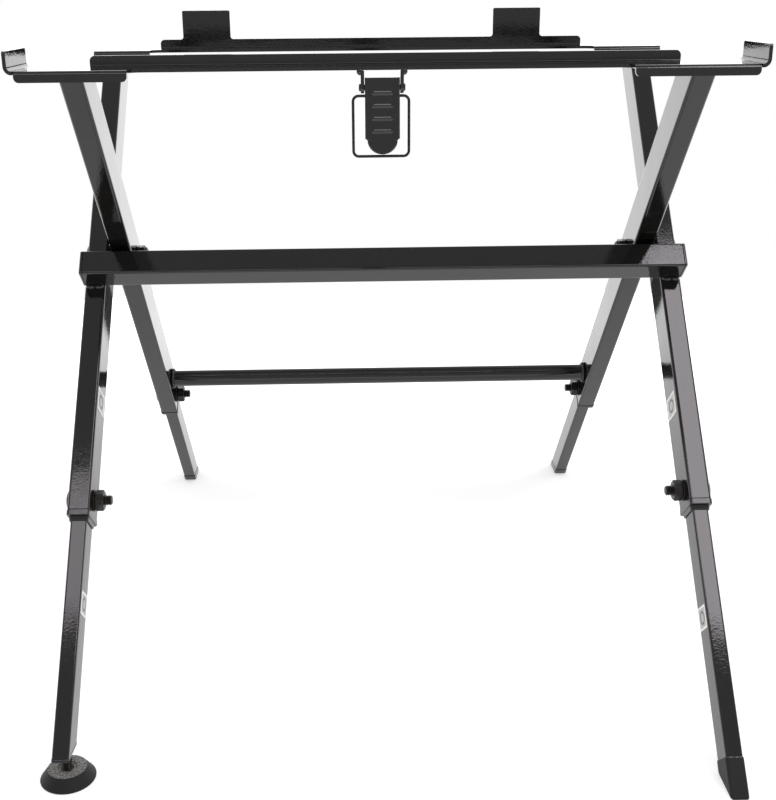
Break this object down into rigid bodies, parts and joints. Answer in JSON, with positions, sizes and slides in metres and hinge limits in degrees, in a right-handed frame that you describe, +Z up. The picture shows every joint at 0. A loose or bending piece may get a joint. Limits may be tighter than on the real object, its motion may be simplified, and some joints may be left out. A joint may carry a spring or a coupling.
{
  "type": "folding tool stand",
  "caption": "Folding steel tool stand with crossed telescopic legs, two seat rails, a draw latch and a levelling foot.",
  "frame": {"origin": "on the floor, centred under the open stand", "axes": "+Z up, -Y to the front rail with the latch, +X to the right seen from the front"},
  "size_m": [0.6168, 0.7438, 0.6195],
  "materials": {
    "paint": "gloss black powder coat",
    "bolt": "black zinc on steel",
    "plastic": "moulded satin black plastic",
    "rubber": "moulded matt black rubber",
    "label": "blank white vinyl sticker"
  },
  "bodies": {
    "outer_frame": {"rear_rail": "paint", "outer_leg_left": "paint", "outer_leg_right": "paint", "crossbar": "paint", "crossbar_cap_left": "plastic", "crossbar_cap_right": "plastic", "leg_bushing_front_left": "plastic", "leg_bushing_front_right": "plastic", "clamp_bolt_front_left": "bolt", "clamp_bolt_front_right": "bolt", "clamp_washer_front_left": "bolt", "clamp_washer_front_right": "bolt", "pivot_bolt_left": "bolt", "pivot_bolt_right": "bolt", "pivot_spacer_left": "plastic", "pivot_spacer_right": "plastic", "pivot_nut_left": "bolt", "pivot_nut_right": "bolt", "upper_label_left": "label", "upper_label_right": "label"},
    "inner_frame": {"front_rail": "paint", "inner_leg_left": "paint", "inner_leg_right": "paint", "lower_round_bar": "paint", "leg_bushing_rear_left": "plastic", "leg_bushing_rear_right": "plastic", "clamp_bolt_rear_left": "bolt", "clamp_bolt_rear_right": "bolt", "clamp_washer_rear_left": "bolt", "clamp_washer_rear_right": "bolt", "latch_ear_left": "paint", "latch_ear_right": "paint", "latch_pin": "bolt"},
    "lower_leg_front_left": {"extension_leg_front_left": "paint", "foot_plug_front_left": "plastic", "lower_label_left": "label"},
    "lower_leg_front_right": {"extension_leg_front_right": "paint", "foot_tip_front_right": "rubber", "lower_label_right": "label"},
    "lower_leg_rear_left": {"extension_leg_rear_left": "paint", "foot_tip_rear_left": "plastic"},
    "lower_leg_rear_right": {"extension_leg_rear_right": "paint", "foot_tip_rear_right": "plastic"},
    "clamp_nut_front_left": {"clamp_nut_front_left": "bolt"},
    "clamp_nut_front_right": {"clamp_nut_front_right": "bolt"},
    "clamp_nut_rear_left": {"clamp_nut_rear_left": "bolt"},
    "clamp_nut_rear_right": {"clamp_nut_rear_right": "bolt"},
    "levelling_pad": {"levelling_pad": "rubber"},
    "levelling_stud": {"levelling_stud": "bolt"},
    "latch_lever": {"latch_lever": "paint"},
    "latch_bail": {"latch_bail": "bolt"}
  },
  "joints": [
    {"name": "fold", "type": "hinge", "parent": "outer_frame", "child": "inner_frame", "pos_m": [0, 0, 0.3886], "axis": [-1, 0, 0], "range_deg": [0, 70]},
    {"name": "extend_front_left", "type": "slide", "parent": "outer_frame", "child": "lower_leg_front_left", "axis": [0, -0.6734, -0.7393], "range_m": [0, 0.12]},
    {"name": "extend_front_right", "type": "slide", "parent": "outer_frame", "child": "lower_leg_front_right", "axis": [0, -0.6734, -0.7393], "range_m": [0, 0.12]},
    {"name": "extend_rear_left", "type": "slide", "parent": "inner_frame", "child": "lower_leg_rear_left", "axis": [0, 0.6734, -0.7393], "range_m": [0, 0.12]},
    {"name": "extend_rear_right", "type": "slide", "parent": "inner_frame", "child": "lower_leg_rear_right", "axis": [0, 0.6734, -0.7393], "range_m": [0, 0.12]},
    {"name": "nut_turn_front_left", "type": "hinge", "parent": "outer_frame", "child": "clamp_nut_front_left", "pos_m": [-0.2837, -0.17576, 0.19565], "axis": [1, 0, 0], "range_deg": [0, 360]},
    {"name": "nut_turn_front_right", "type": "hinge", "parent": "outer_frame", "child": "clamp_nut_front_right", "pos_m": [0.2837, -0.17576, 0.19565], "axis": [-1, 0, 0], "range_deg": [0, 360]},
    {"name": "nut_turn_rear_left", "type": "hinge", "parent": "inner_frame", "child": "clamp_nut_rear_left", "pos_m": [-0.2576, 0.19596, 0.17347], "axis": [1, 0, 0], "range_deg": [0, 360]},
    {"name": "nut_turn_rear_right", "type": "hinge", "parent": "inner_frame", "child": "clamp_nut_rear_right", "pos_m": [0.2576, 0.19596, 0.17347], "axis": [-1, 0, 0], "range_deg": [0, 360]},
    {"name": "pad_height", "type": "slide", "parent": "lower_leg_front_left", "child": "levelling_pad", "axis": [0, 0, -1], "range_m": [-0.003, 0.0075]},
    {"name": "stud_turn", "type": "hinge", "parent": "levelling_pad", "child": "levelling_stud", "pos_m": [-0.2837, -0.322, 0.02], "axis": [0, 0, -1], "range_deg": [-720, 1800]},
    {"name": "lever_swing", "type": "hinge", "parent": "inner_frame", "child": "latch_lever", "pos_m": [-0.0054, -0.1775, 0.563], "axis": [-1, 0, 0], "range_deg": [-30, 90]},
    {"name": "bail_swing", "type": "hinge", "parent": "latch_lever", "child": "latch_bail", "pos_m": [-0.00645, -0.1795, 0.5564], "axis": [-1, 0, 0], "range_deg": [-60, 60]}
  ],
  "couplings": [
    {"joint": "stud_turn", "follows": "pad_height", "rad_per_m": 4188.7}
  ]
}
